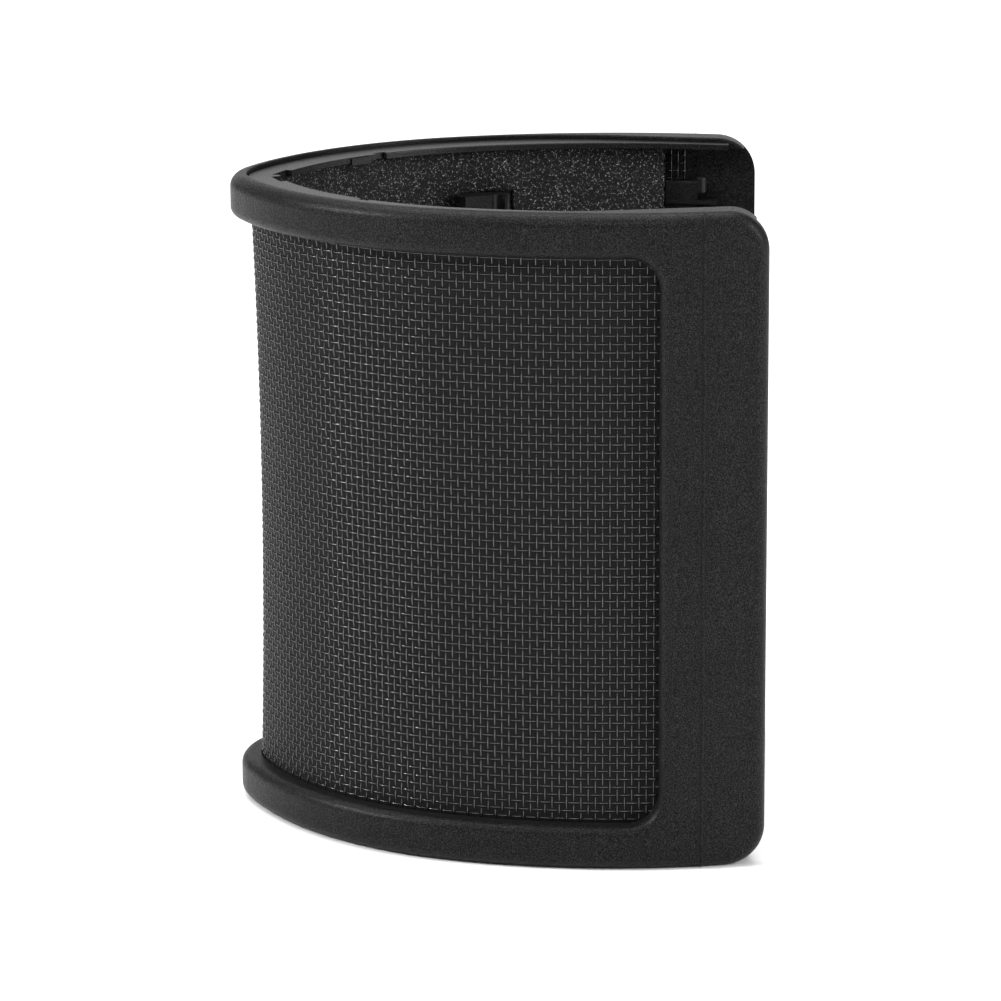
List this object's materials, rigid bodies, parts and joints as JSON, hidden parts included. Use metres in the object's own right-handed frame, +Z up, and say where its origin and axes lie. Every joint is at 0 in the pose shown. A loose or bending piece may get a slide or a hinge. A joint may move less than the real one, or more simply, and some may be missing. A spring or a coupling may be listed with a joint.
{
  "type": "microphone isolation shield",
  "caption": "U-shaped clip-on microphone shield: framed wire screen window with cloth and foam layers, open back with hooks and elastic bands.",
  "frame": {"origin": "middle of the footprint, on the surface that the shield stands on", "axes": "+Z up along the height; the closed front faces -Y and the open back +Y; mirrored about X = 0"},
  "size_m": [0.0996, 0.1024, 0.125],
  "materials": {
    "frame_abs": "moulded, fine spark texture",
    "ring_abs": "moulded, satin",
    "screen_wire": "black coated woven wire",
    "etamine": "fine open weave",
    "foam": "open-cell foam",
    "elastic": "braided cover"
  },
  "bodies": {
    "root": {"outer_frame": "frame_abs", "retaining_ring_top": "ring_abs", "retaining_ring_bottom": "ring_abs", "wire_mesh": "screen_wire", "etamine_cloth": "etamine", "foam_liner": "foam", "hook_strut_left": "ring_abs", "hook_strut_right": "ring_abs", "outer_hook_left_upper": "ring_abs", "outer_hook_left_lower": "ring_abs", "outer_hook_right_upper": "ring_abs", "outer_hook_right_lower": "ring_abs", "elastic_band_upper": "elastic", "elastic_band_lower": "elastic"}
  },
  "joints": []
}
